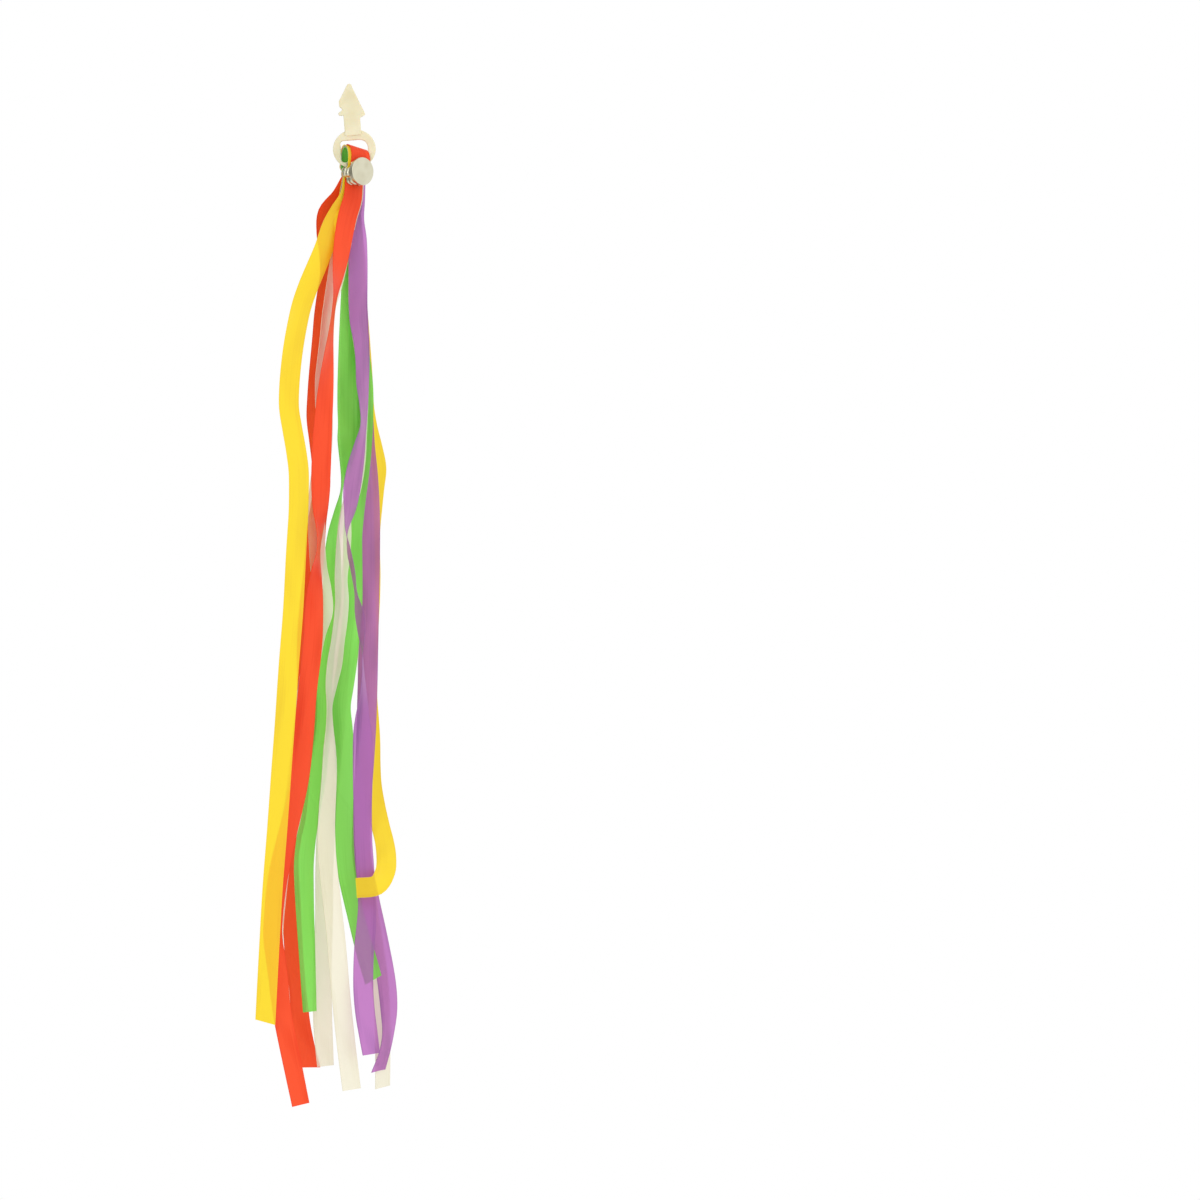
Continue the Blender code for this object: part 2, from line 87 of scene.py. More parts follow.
# Each tail's route below the clamp: x, depth y and height z of its middle, then the angle that its width
# makes with +X about the vertical, and last how far its width rises out of the level.
ROUTES = {
    "red_front": (
        (1.2, -6.2, -26.5, 30), (-1.6, -9, -34.5, 30), (-4, -12, -46, 45), (-5.6, -14.8, -58.5, 78),
        (-7, -17.4, -72, 75), (-8.2, -19.4, -85, 55), (-9.5, -20, -101, 32), (-10.5, -19, -122, 22),
        (-10.8, -18, -136, 55), (-11, -18, -144.5, 82), (-12, -18, -152.5, 65), (-12.8, -18, -165, 32),
        (-13.3, -18, -178.5, 20), (-15.5, -17, -199, 25), (-16.8, -16, -214, 5), (-18.5, -16, -230, 25),
        (-22, -16.5, -245, 25), (-25.3, -17, -260, 10), (-26.8, -18, -272, 25), (-27.2, -18, -282, 25),
        (-25.8, -18, -292, 20), (-24, -18, -308, 25), (-20.8, -18, -324, 25), (-17.5, -18, -340, 30),
    ),
    "yellow_front": (
        (1.6, -5.1, -25, 30), (-1, -7, -29, 30), (-4.4, -9.5, -33.5, 30), (-7.6, -11.6, -38.5, 28),
        (-10.4, -12.6, -44, 20), (-13.8, -13, -52, 8), (-17, -12.5, -60.5, 0), (-19.5, -14, -72, 0),
        (-21.2, -17, -86, 5), (-21.5, -19.5, -98, 10), (-19.8, -21, -108, 5), (-18.2, -22, -118, -5),
        (-18, -22.5, -129.5, -10), (-19, -22.5, -149, 0), (-20, -22, -168, 10), (-21.5, -22, -187, 5),
        (-22.7, -22, -205, -5), (-24.1, -22, -224, 0), (-25.6, -22, -245, 5), (-27, -22.5, -263, 0),
        (-28.2, -23, -284, -5), (-29, -23, -299, 0), (-29.6, -23, -311, 5),
    ),
    "white_a_front": (
        (0.9, -5.3, -27, 30), (-2.7, -7.4, -42, 30), (-5.3, -9.5, -56, 44), (-7.4, -11.8, -65, 62),
        (-8.1, -13, -75, 58), (-9.1, -14, -88, 42), (-9.4, -14.8, -105, 34), (-10.4, -14.4, -117, 32),
        (-11.9, -14, -130, 30), (-12, -14, -145, 40), (-11, -14, -157, 32), (-9.6, -14, -166, 15),
        (-12.2, -14, -177, 30), (-15, -13.5, -192, 25), (-17.5, -12.5, -215, 22), (-20.5, -12.5, -238, 22),
        (-24.5, -13, -255.5, 22), (-26.3, -14, -271, 25), (-27, -14, -283.5, 28), (-25.3, -14, -297, 28),
        (-24.3, -14, -307, 32),
    ),
    "purple_front": (
        (1.7, -4.4, -28, 29), (2, -4.3, -40, 26), (2, -4.7, -51, 22), (2.2, -6, -66.5, 24),
        (3.5, -8, -77, 45), (3.7, -10, -89, 56), (4, -13, -105, 74), (2.2, -13.5, -113.5, 50),
        (0.3, -12.5, -124, 32), (-0.6, -12, -133, 55), (-1.8, -12, -142.5, 90), (0, -12, -151.5, 104),
        (1.2, -12, -160.5, 98), (3, -11.5, -171.5, 122), (3.7, -11, -183, 94), (4, -10.5, -196, 78),
        (3.6, -9.5, -205, 50), (3.7, -7.5, -219, 5), (3.6, -5, -234.5, 25), (3.8, -3, -248.5, 32),
        (4.6, -2, -262.5, 28), (5, -3, -275, 30), (4.2, -5, -285, 5), (4, -7, -303, 5),
        (6.7, -8, -323, 32),
    ),
    "white_b_front": (
        (1.1, -4.2, -28, 30), (1.5, -3.3, -45.5, 30), (1.8, -2.8, -63, 32), (3, -3, -77, 50),
        (3.8, -3.2, -91, 62), (4, -3, -105, 74), (2.5, -4, -115.5, 55), (0.4, -5, -126, 45),
        (-2.5, -6, -136, 58), (-2.9, -6, -145, 45), (-3.9, -6, -156, 54), (-3.6, -6, -166, 50),
        (-5, -6, -178.5, 50), (-6.7, -6, -190.5, 45), (-7.8, -6, -198, 68), (-7.9, -6, -205, 77),
        (-7.9, -6, -213.5, 60), (-8, -6, -225.5, 45), (-8.9, -6, -239.5, 38), (-8.9, -6, -252, 30),
        (-7.5, -6, -266, 28), (-5.6, -6, -283.5, 25), (-4.1, -6, -301, 25), (-2.3, -6, -318.5, 25),
        (-0.2, -6, -335.5, 28),
    ),
    "green_front": (
        (0.9, -3.7, -28, 30), (-0.3, -3.1, -47, 24), (-0.8, -2, -61, 12), (-1.5, -1.5, -77, 10),
        (-1.9, -1.5, -93, 5), (-1.8, -1.4, -105, -8), (-2.2, -2, -112.5, 42), (-3, -2, -118.5, 72),
        (-3.5, -2, -123.5, 88), (-4.7, -2, -131, 76), (-6.6, -2, -140, 62), (-7, -2, -150.5, 35),
        (-7.4, -2, -164.5, 20), (-9.1, -2, -178.5, 20), (-10.7, -2, -196, 22), (-11.5, -2, -213.5, 15),
        (-13, -2, -229, 20), (-15.5, -2, -243, 20), (-17, -2, -255.5, 10), (-16.8, -2, -269.5, 25),
        (-16, -2, -287, 38), (-15, -2, -308.5, 52),
    ),
    "green_rear": (
        (-0.6, 3.4, -28, 30), (0.5, 3.2, -47, 28), (1, 2.7, -63, 24), (2, 2.5, -75, 20),
        (3.5, 2.5, -89, 10), (3.4, 2, -105, 0), (2.5, 2, -117, 5), (1, 2, -129.5, 15),
        (-0.1, 2, -142, 20), (0.1, 2, -154, 25), (0, 2, -166, 25), (-1.1, 2, -178.5, 22),
        (-2.8, 2, -192, 10), (-4.1, 2, -201, 22), (-3.1, 2, -213.5, 20), (-2.9, 2, -231, 32),
        (-3, 1.5, -248.5, 25), (-2, 1, -261, 30), (0, 1, -271, 36), (2.2, 1, -280, 35),
        (4.7, 0.5, -289, 25), (7.2, 0, -297.5, 28),
    ),
    "white_b_rear": (
        (-0.8, 4, -28, 30), (-0.3, 4.5, -47, 30), (-1, 5, -66.5, 30), (-1.5, 5.4, -87.5, 30),
        (-1.4, 6, -108.5, 30), (0, 6, -126, 38), (-0.5, 6, -143.5, 35), (-1.2, 6, -161, 30),
        (-3.5, 6, -178.5, 30), (-5.2, 6, -196, 30), (-6.5, 6, -212, 30), (-8.2, 6, -227.5, 28),
        (-9.5, 6, -243, 28), (-10.2, 6, -259, 28), (-10.3, 6, -275, 30), (-10.8, 6, -293, 28),
        (-10.8, 6, -311.5, 22), (-9.8, 6, -328, 38),
    ),
    "purple_rear": (
        (-0.5, 4.7, -28, 30), (1, 6.3, -47, 30), (2, 8.4, -66.5, 32), (2.6, 10, -84, 32),
        (3.5, 10.6, -98, 28), (4.2, 10.6, -110, 28), (5.4, 10.4, -121.5, 28), (6, 10, -136.5, 25),
        (5.9, 10, -154, 28), (5.6, 10, -170, 28), (5.1, 10, -184, 15), (4.7, 10, -199.5, 5),
        (4.1, 9.5, -217, 20), (3.1, 7.7, -234.5, 28), (3.1, 5.3, -255.5, 25), (5.8, 5.3, -269.5, 25),
        (9, 5.7, -284, 25), (11.3, 6.5, -296.5, 25), (12.3, 8, -306, 30), (12.3, 9, -314.5, 52),
        (11.5, 10, -321, 60), (10.1, 10, -325.5, 55), (8.6, 10, -330, 52),
    ),
    "white_a_rear": (
        (-1, 5, -28, 30), (-0.2, 7.2, -47, 30), (0.5, 10, -66.5, 30), (1.5, 12.6, -87.5, 30),
        (2.6, 14, -108.5, 30), (3.6, 14, -129.5, 30), (4.1, 14, -150.5, 28), (4.4, 14, -171.5, 28),
        (4.5, 14, -192.5, 25), (4, 13.5, -213.5, 28), (3, 11, -234.5, 28), (3, 9, -255.5, 28),
        (5, 9.2, -271, 32), (7.5, 10, -287, 34), (9.6, 11.5, -304.5, 38), (10.1, 13, -322, 42),
        (10, 14, -336, 44),
    ),
    "yellow_rear": (
        (-1.4, 5.2, -28, 30), (0.2, 8.6, -47, 30), (2, 12.4, -66.5, 33), (3.5, 15.4, -84, 40),
        (4.7, 17.4, -99, 44), (6.6, 18, -108.5, 40), (8.3, 18.3, -116, 38), (7.5, 18.5, -126, 40),
        (6, 18.5, -140, 35), (5.9, 18.5, -157.5, 28), (5, 18.5, -178.5, 22), (4.6, 18.5, -196, 22),
        (5.7, 18, -212, 25), (6.5, 16.4, -231, 25), (9, 13.9, -243, 25), (10.9, 9.2, -250, 20),
        (11.6, 4.2, -255, 8), (11.4, -0.8, -259.3, 0, -6), (10, -4.9, -262.8, 0, -38),
        (6.8, -7.2, -264.9, 0, -76), (3.8, -7.8, -265.1, 0, -88), (1.4, -8, -265, 0, -92),
    ),
    "red_rear": (
        (-4.4, 4, -25, 30), (-7, 3.4, -30, 30), (-8.2, 5, -38.5, 30), (-8.6, 7.4, -48, 30),
        (-10.5, 11, -61, 28), (-11.7, 14.6, -74, 28), (-13.5, 18.2, -90, 36), (-14, 20, -100, 35),
        (-12.6, 21.2, -111, 30), (-11.7, 22, -123, 30), (-13.5, 22.5, -138, 20), (-14.7, 22.5, -154, 10),
        (-16.5, 22, -171.5, 5), (-17, 21.5, -191, 10), (-16.7, 21, -206.5, 20), (-19, 21, -224, 20),
        (-20.3, 21.5, -239.5, 25), (-23.1, 22, -255.5, 28), (-22.6, 22, -269.5, 25),
        (-21.7, 22, -287, 22), (-20.1, 22, -306, 22), (-18.3, 22, -318.5, 20), (-15.6, 22, -329.5, 22),
    ),
}

# Cut ends: how far one corner of the strip's end runs past the other.
CUTS = {"yellow_front": 0.8, "red_rear": 0.9, "purple_rear": -1.2, "green_rear": -0.8, "white_a_rear": -0.4}

# ---------------------------------------------------------------- camera

VIEW_MIDDLE = (86.5, 0.0, -164.5)
VIEW_SPAN = 420.0
CAMERA_AWAY = 2600.0
eye = bpy.data.cameras.new("camera")
eye.sensor_width = 36.0
eye.lens = 36.0 * CAMERA_AWAY / VIEW_SPAN
eye.clip_end = 50.0
camera = bpy.data.objects.new("camera", eye)
bpy.context.scene.collection.objects.link(camera)
camera.location = (VIEW_MIDDLE[0] * MM, -CAMERA_AWAY * MM, VIEW_MIDDLE[2] * MM)
camera.rotation_euler = (math.pi / 2, 0.0, 0.0)
bpy.context.scene.camera = camera

TURN = math.radians(CLAMP_TURN)
ACROSS = np.array((math.cos(TURN), math.sin(TURN), 0.0))
OUTWARD = np.array((math.sin(TURN), -math.cos(TURN), 0.0))
UP = np.array((0.0, 0.0, 1.0))
OUTER_LOOP_RADIUS = LOOP_INNER_RADIUS + (len(RIBBONS) - 1) * LAYER_PITCH


def on_clamp(along_width, outward, up):
    """Points of the clamp's frame: its middle, along_width times ACROSS, outward times OUTWARD, up times UP."""
    return (
        np.array((CLAMP_X, 0.0, 0.0))
        + np.multiply.outer(along_width, ACROSS)
        + np.multiply.outer(outward, OUTWARD)
        + np.multiply.outer(up, UP)
    )


def smooth_route(points, step):
    """Cubic Hermite curve through the points by chord length, its slopes the central differences there."""
    knots = np.array(points, float)
    chord = np.linalg.norm(np.diff(knots[:, :3], axis=0), axis=1)
    at = np.concatenate(([0.0], np.cumsum(chord)))
    slope = np.gradient(knots, at, axis=0)
    count = int(math.ceil(at[-1] / step)) + 1
    where = np.linspace(0, at[-1], count)
    span = np.clip(np.searchsorted(at, where, side="right") - 1, 0, len(chord) - 1)
    length = chord[span][:, None]
    t = ((where - at[span]) / chord[span])[:, None]
    return (
        (2 * t**3 - 3 * t**2 + 1) * knots[span]
        + (t**3 - 2 * t**2 + t) * length * slope[span]
        + (3 * t**2 - 2 * t**3) * knots[span + 1]
        + (t**3 - t**2) * length * slope[span + 1]
    )


# ---------------------------------------------------------------- meshes


def grid_faces(rows, columns, wrap):
    """Quads of a rows by columns grid, joined round across its columns where wrap is set."""
    i, j = np.meshgrid(np.arange(rows - 1), np.arange(columns if wrap else columns - 1), indexing="ij")
    k = (j + 1) % columns
    low, high = i * columns, (i + 1) * columns
    return np.stack((low + j, low + k, high + k, high + j), -1).reshape(-1, 4)


def solid(name, points, faces, uv=None, sharp=40.0):
    """A smooth-shaded mesh of points in millimetres, with edges over the sharp angle kept crisp."""
    mesh = bpy.data.meshes.new(name)
    mesh.from_pydata((np.asarray(points) * MM).tolist(), [], [tuple(int(v) for v in f) for f in faces])
    if uv is not None:
        layer = mesh.uv_layers.new(name="film")
        loops = np.empty(len(mesh.loops), np.int32)
        mesh.loops.foreach_get("vertex_index", loops)
        layer.data.foreach_set("uv", np.asarray(uv, np.float32)[loops].ravel())
    mesh.polygons.foreach_set("use_smooth", np.ones(len(mesh.polygons), bool))
    mesh.set_sharp_from_angle(angle=math.radians(sharp))
    mesh.validate()
    piece = bpy.data.objects.new(name, mesh)
    bpy.context.scene.collection.objects.link(piece)
    return piece


def film_strip(name, middles, widths, normals, swell, seed, cut=0.0):
    """One closed film strip.

    A point is the middle, plus u times half the width along widths, plus a rise along normals, plus or
    minus half the film's thickness. The rise is a shallow cup, (1 - u^2) times a slow wave of the length,
    plus an edge flutter, u^3 times another slow wave; both fade to nothing at the clamp. The last section
    is sheared by cut.
    """
    count = len(middles)
    run = np.concatenate(([0.0], np.cumsum(np.linalg.norm(np.diff(middles, axis=0), axis=1))))
    u = np.linspace(-1, 1, ACROSS_STEPS)
    phase = 1.7 * seed
    fade = np.clip((run - 4) / 30, 0, 1) ** 2
    cup = np.sin(run / 21 + phase) + 0.6 * np.sin(run / 9.5 + 2.1 * phase)
    flutter = np.sin(run / 14 + 0.7 * phase) + 0.5 * np.sin(run / 6.3 + 1.3 * phase)
    rise = swell * fade[:, None] * (cup[:, None] * (1 - u**2) * 0.5 + flutter[:, None] * u**3 * 0.35)
    slide = np.zeros(count)
    if cut:
        slide = cut * np.clip(1 - (run[-1] - run) / 6, 0, 1)
    along = np.gradient(middles, axis=0)
    along /= np.linalg.norm(along, axis=1, keepdims=True)
    face = (
        middles[:, None]
        + (u[:, None] * RIBBON_WIDTH / 2) * widths[:, None]
        + rise[..., None] * normals[:, None]
        + (slide[:, None] * u)[..., None] * along[:, None]
    )
    half = normals[:, None] * FILM_THICK / 2
    ring = np.concatenate((face + half, (face - half)[:, ::-1]), axis=1)
    columns = ring.shape[1]
    faces = [tuple(f) for f in grid_faces(count, columns, True)]
    for row, back in ((0, False), (count - 1, True)):
        for j in range(ACROSS_STEPS - 1):
            near, far = row * columns + j, (row + 1) * columns - 1 - j
            quad = (near, near + 1, far - 1, far)
            faces.append(quad[::-1] if back else quad)
    across = np.concatenate((u, u[::-1])) * 0.5 + 0.5
    uv = np.stack(np.broadcast_arrays(across[None, :], (run / RIBBON_WIDTH)[:, None]), -1)
    return outward(solid(name, ring.reshape(-1, 3), faces, uv.reshape(-1, 2)))


def outward(piece):
    """Turns every face of a closed piece to point out, by the sign of the volume that its faces enclose."""
    mesh = piece.data
    mesh.calc_loop_triangles()
    points = np.empty(len(mesh.vertices) * 3)
    mesh.vertices.foreach_get("co", points)
    corners = np.empty(len(mesh.loop_triangles) * 3, np.int32)
    mesh.loop_triangles.foreach_get("vertices", corners)
    a, b, c = points.reshape(-1, 3)[corners.reshape(-1, 3)].transpose(1, 0, 2)
    if np.einsum("ij,ij->i", a, np.cross(b, c)).sum() < 0:
        mesh.flip_normals()
    return piece


def turned(name, profile, sides, centre, turn, wobble=None):
    """A piece turned about a level axis from (radius, outward) points that run from axis to axis.

    Each point is the centre, plus outward along the axis, plus radius times (cos a, sin a) across it. The
    axis is -Y turned about the vertical by turn degrees; wobble scales the radius by a function of the angle.
    """
    radius, out = np.array(profile, float).T
    angle = np.linspace(0, 2 * math.pi, sides, endpoint=False)
    size = radius[1:-1, None] * (np.ones(sides) if wobble is None else wobble(angle)[None, :])
    swing = math.radians(turn)
    side = np.array((math.cos(swing), math.sin(swing), 0.0))
    axis = np.array((math.sin(swing), -math.cos(swing), 0.0))
    rings = (
        np.asarray(centre)
        + out[1:-1, None, None] * axis
        + (size * np.cos(angle))[..., None] * side
        + (size * np.sin(angle))[..., None] * UP
    )
    inner = rings.reshape(-1, 3)
    ends = np.asarray(centre) + out[[0, -1], None] * axis
    faces = [tuple(f) for f in grid_faces(len(profile) - 2, sides, True)]
    first, last = len(inner), len(inner) + 1
    base = (len(profile) - 3) * sides
    for i in range(sides):
        j = (i + 1) % sides
        faces += [(first, j, i), (last, base + i, base + j)]
    return outward(solid(name, np.concatenate((inner, ends)), faces, sharp=50.0))


# ---------------------------------------------------------------- materials


def linear(hexa):
    """An sRGB hex colour as linear RGBA."""
    part = [int(hexa[i : i + 2], 16) / 255 for i in (0, 2, 4)]
    return (*[c / 12.92 if c <= 0.04045 else ((c + 0.055) / 1.055) ** 2.4 for c in part], 1.0)


def node(tree, kind, links=None, **settings):
    """Adds a node. Settings are its properties or, by name, its inputs; links are {input: socket}."""
    made = tree.nodes.new(kind)
    for key, value in settings.items():
        if hasattr(made, key):
            setattr(made, key, value)
        else:
            made.inputs[key.replace("_", " ")].default_value = value
    for key, socket in (links or {}).items():
        tree.links.new(made.inputs[key], socket)
    return made


def new_material(name):
    made = bpy.data.materials.new(name)
    made.use_nodes = True
    tree = made.node_tree
    tree.nodes.clear()
    return made, tree


def ramp(tree, socket, stops):
    made = node(tree, "ShaderNodeValToRGB", {"Fac": socket})
    band = made.color_ramp
    while len(band.elements) < len(stops):
        band.elements.new(0.5)
    for element, (at, colour) in zip(band.elements, stops):
        element.position = at
        element.color = colour
    return made


def film(name, face, shade, tint, clear):
    """Blown polyethylene film, dyed in the mass: satin, a little see-through, tinting what lies behind it.

    The extruder leaves faint lines 0.5 mm apart along the strip, handling leaves soft crossways creases
    some 12 mm apart, and a cut edge looks denser because it is seen along the film. The colour also runs
    from face towards shade in broad soft patches: painted shade, standing in for the shading of the film's
    crumples and twists. Only the side that faces the light path's start is drawn, so a strip's two skins
    count as one film.
    """
    made, tree = new_material(name)
    uv = node(tree, "ShaderNodeUVMap", uv_map="film")
    split = node(tree, "ShaderNodeSeparateXYZ", {"Vector": uv.outputs["UV"]})
    lines_at = node(tree, "ShaderNodeMapping", {"Vector": uv.outputs["UV"]}, Scale=(14.0, 0.1, 1.0))
    soft = {"Scale": 1.0, "Detail": 1.0, "Roughness": 0.4}
    lines = node(tree, "ShaderNodeTexNoise", {"Vector": lines_at.outputs[0]}, **soft)
    # Broad soft patches for the painted shade of crumples; the same noise also varies the roughness.
    patch_at = node(tree, "ShaderNodeMapping", {"Vector": uv.outputs["UV"]}, Scale=(0.9, 0.2, 1.0))
    patch = node(tree, "ShaderNodeTexNoise", {"Vector": patch_at.outputs[0]}, **soft)
    crease_at = node(
        tree, "ShaderNodeMapping", {"Vector": uv.outputs["UV"]}, Scale=(0.8, 0.6, 1.0), Rotation=(0, 0, 0.5)
    )
    crease = node(
        tree, "ShaderNodeTexVoronoi", {"Vector": crease_at.outputs[0]}, feature="DISTANCE_TO_EDGE", Scale=0.45
    )
    fold = node(
        tree, "ShaderNodeMapRange", {"Value": crease.outputs["Distance"]}, From_Max=0.05, To_Min=1.0, To_Max=0.0
    )
    from_mid = node(tree, "ShaderNodeMath", {0: split.outputs["X"]}, operation="SUBTRACT")
    from_mid.inputs[1].default_value = 0.5
    away = node(tree, "ShaderNodeMath", {0: from_mid.outputs[0]}, operation="ABSOLUTE")
    edge = node(tree, "ShaderNodeMapRange", {"Value": away.outputs[0]}, From_Min=0.46, From_Max=0.498)
    weak = node(tree, "ShaderNodeMath", {0: lines.outputs["Fac"]}, operation="MULTIPLY")
    weak.inputs[1].default_value = 0.22
    blend = node(tree, "ShaderNodeMath", {0: patch.outputs["Fac"], 1: weak.outputs[0]}, operation="ADD")
    # Painted shade: the patches darken the film from its face colour towards its shade colour, with the
    # extruder lines added faintly.
    tone = ramp(
        tree,
        node(tree, "ShaderNodeMapRange", {"Value": blend.outputs[0]}, From_Min=0.42, From_Max=0.74).outputs[0],
        ((0.0, linear(shade)), (0.6, linear(face))),
    )
    edged = node(
        tree, "ShaderNodeMixRGB", {"Fac": edge.outputs[0], "Color1": tone.outputs[0]}, Color2=linear(shade)
    )
    bump_a = node(tree, "ShaderNodeBump", {"Height": lines.outputs["Fac"]}, Strength=0.15, Distance=0.00006)
    bump_b = node(
        tree,
        "ShaderNodeBump",
        {"Height": fold.outputs[0], "Normal": bump_a.outputs[0]},
        Strength=0.3,
        Distance=0.0002,
    )
    rough = node(
        tree,
        "ShaderNodeMapRange",
        {"Value": patch.outputs["Fac"]},
        To_Min=FILM_ROUGH - 0.06,
        To_Max=FILM_ROUGH + 0.12,
    )
    skin = node(
        tree,
        "ShaderNodeBsdfPrincipled",
        {"Base Color": edged.outputs[0], "Roughness": rough.outputs[0], "Normal": bump_b.outputs[0]},
        IOR=1.5,
    )
    skin.inputs["Specular IOR Level"].default_value = 0.3
    through = node(tree, "ShaderNodeBsdfTransparent", Color=linear(tint))
    dense = node(tree, "ShaderNodeMapRange", {"Value": edge.outputs[0]}, To_Min=clear, To_Max=clear * 0.4)
    mixed = node(
        tree, "ShaderNodeMixShader", {0: dense.outputs[0], 1: skin.outputs[0], 2: through.outputs[0]}
    )
    empty = node(tree, "ShaderNodeBsdfTransparent")
    side = node(tree, "ShaderNodeNewGeometry")
    both = node(
        tree, "ShaderNodeMixShader", {0: side.outputs["Backfacing"], 1: mixed.outputs[0], 2: empty.outputs[0]}
    )
    node(tree, "ShaderNodeOutputMaterial", {"Surface": both.outputs[0]})
    return made


def moulding():
    """Injection-moulded polyethylene, unpainted ivory: satin, slightly waxy, with a faint orange peel.

    Light sinks about a millimetre into it, so its thin edges glow; dust darkens it a shade in patches.
    """
    made, tree = new_material("moulded_polyethylene")
    place = node(tree, "ShaderNodeTexCoord")
    patch = node(tree, "ShaderNodeTexNoise", {"Vector": place.outputs["Object"]}, Scale=120.0, Detail=3.0)
    peel = node(tree, "ShaderNodeTexNoise", {"Vector": place.outputs["Object"]}, Scale=900.0, Detail=2.0)
    tone = ramp(tree, patch.outputs["Fac"], ((0.3, linear("E6DBB2")), (0.65, linear("F1E9C9"))))
    bump = node(tree, "ShaderNodeBump", {"Height": peel.outputs["Fac"]}, Strength=0.35, Distance=0.00012)
    rough = node(tree, "ShaderNodeMapRange", {"Value": patch.outputs["Fac"]}, To_Min=0.38, To_Max=0.52)
    skin = node(
        tree,
        "ShaderNodeBsdfPrincipled",
        {"Base Color": tone.outputs[0], "Roughness": rough.outputs[0], "Normal": bump.outputs[0]},
        IOR=1.51,
    )
    skin.inputs["Subsurface Weight"].default_value = 0.25
    skin.inputs["Subsurface Scale"].default_value = 0.001
    skin.inputs["Subsurface Radius"].default_value = (1.0, 0.8, 0.5)
    node(tree, "ShaderNodeOutputMaterial", {"Surface": skin.outputs[0]})
    return made


def nickel():
    """Pressed sheet steel, nickel plated: warm pale grey, satin, with fine rub marks in the plating."""
    made, tree = new_material("nickel_plated_steel")
    place = node(tree, "ShaderNodeTexCoord")
    stretch = node(tree, "ShaderNodeMapping", {"Vector": place.outputs["Object"]}, Scale=(1.0, 1.0, 5.0))
    rub = node(
        tree, "ShaderNodeTexNoise", {"Vector": stretch.outputs[0]}, Scale=450.0, Detail=4.0, Roughness=0.6
    )
    cloud = node(tree, "ShaderNodeTexNoise", {"Vector": place.outputs["Object"]}, Scale=160.0, Detail=2.0)
    tone = ramp(tree, cloud.outputs["Fac"], ((0.3, linear("CFCAB0")), (0.7, linear("E4E1CA"))))
    rough = node(tree, "ShaderNodeMapRange", {"Value": rub.outputs["Fac"]}, To_Min=0.26, To_Max=0.44)
    bump = node(tree, "ShaderNodeBump", {"Height": rub.outputs["Fac"]}, Strength=0.15, Distance=0.00005)
    skin = node(
        tree,
        "ShaderNodeBsdfPrincipled",
        {"Base Color": tone.outputs[0], "Roughness": rough.outputs[0], "Normal": bump.outputs[0]},
        Metallic=1.0,
    )
    node(tree, "ShaderNodeOutputMaterial", {"Surface": skin.outputs[0]})
    return made


FILMS = {
    "red": film("red_film", "FF5226", "F2400F", "FF5A2A", 0.12),
    "yellow": film("yellow_film", "FFE02E", "F6D22C", "FFDC30", 0.26),
    "green": film("green_film", "8EE864", "76D350", "90F060", 0.26),
    "purple": film("purple_film", "BC7CC0", "9A68A6", "D88CD4", 0.34),
    "white": film("white_film", "F6F1DC", "ECE6CB", "FBF6E0", 0.34),
}
FILMS["white_a"] = FILMS["white_b"] = FILMS["white"]
PLASTIC = moulding()
METAL = nickel()

# ---------------------------------------------------------------- ribbons

# How far the film cups and flutters, in mm.
DEPTHS = {"red": 0.4, "yellow": 0.5, "white_a": 0.25, "purple": 0.3, "white_b": 0.2, "green": 0.2}

# The stack is pinched for show: these are the film's own places at the fold and at the rivet.
SEAM_Z = -16.5  # where a tail takes over from its loop, behind the cap
FOLD_CENTRE = np.array((1.1, 0.0, -9.9))
FOLD_TURN = 24.0
FOLD_RADIUS = 2.8  # of the innermost film
FOLD_PITCH = 0.22
FOLD_TILT = -0.27  # the fold's right end hangs lower: rise per mm across
FOLD_SLIPS = {"red": 0.2, "yellow": -0.9}  # how far a ribbon has slipped across at the fold
OTHER_SLIP = -0.7
GRIP_X = -0.1  # the stack's middle at the rivet
GRIP_RADIUS = 0.12  # of the innermost film there
GRIP_PITCH = 0.2
GRIP_FROM, GRIP_TO = 0.5, 0.85  # where a leg is drawn in, as shares of the way from the fold to the seam
LOOSE_Z = -44.0  # where a tail has eased out from the grip to the part's own line
BULGES = {"red_rear": -2.8, "yellow_front": -1.6}  # how far a tail springs sideways just under the rivet
GRIP_SLIPS = {"red": 0.0, "yellow": -0.6, "purple": 1.3}  # how far a ribbon's front has slipped across there
OTHER_GRIP_SLIP = 0.6
LEANS = {"white_a_front": -1.1}  # how far a tail leans sideways, behind another
LEAN_TOP, LEAN_LOW = -25, -110  # the heights between which it leans


def smooth(share):
    """0 below 0, 1 above 1, and 3 t^2 - 2 t^3 between."""
    t = np.clip(share, 0.0, 1.0)
    return t * t * (3 - 2 * t)


def pinched(place):
    """The distance of a ribbon's film from the stack's middle at the rivet, where place 0 is the outermost."""
    return GRIP_RADIUS + (len(RIBBONS) - 1 - place) * GRIP_PITCH


def gripped(ribbon, front):
    """How far across the clamp a ribbon's film lies at the rivet; front is 1 on its front leg and 0 behind."""
    return GRIP_SLIPS.get(ribbon, OTHER_GRIP_SLIP) * front


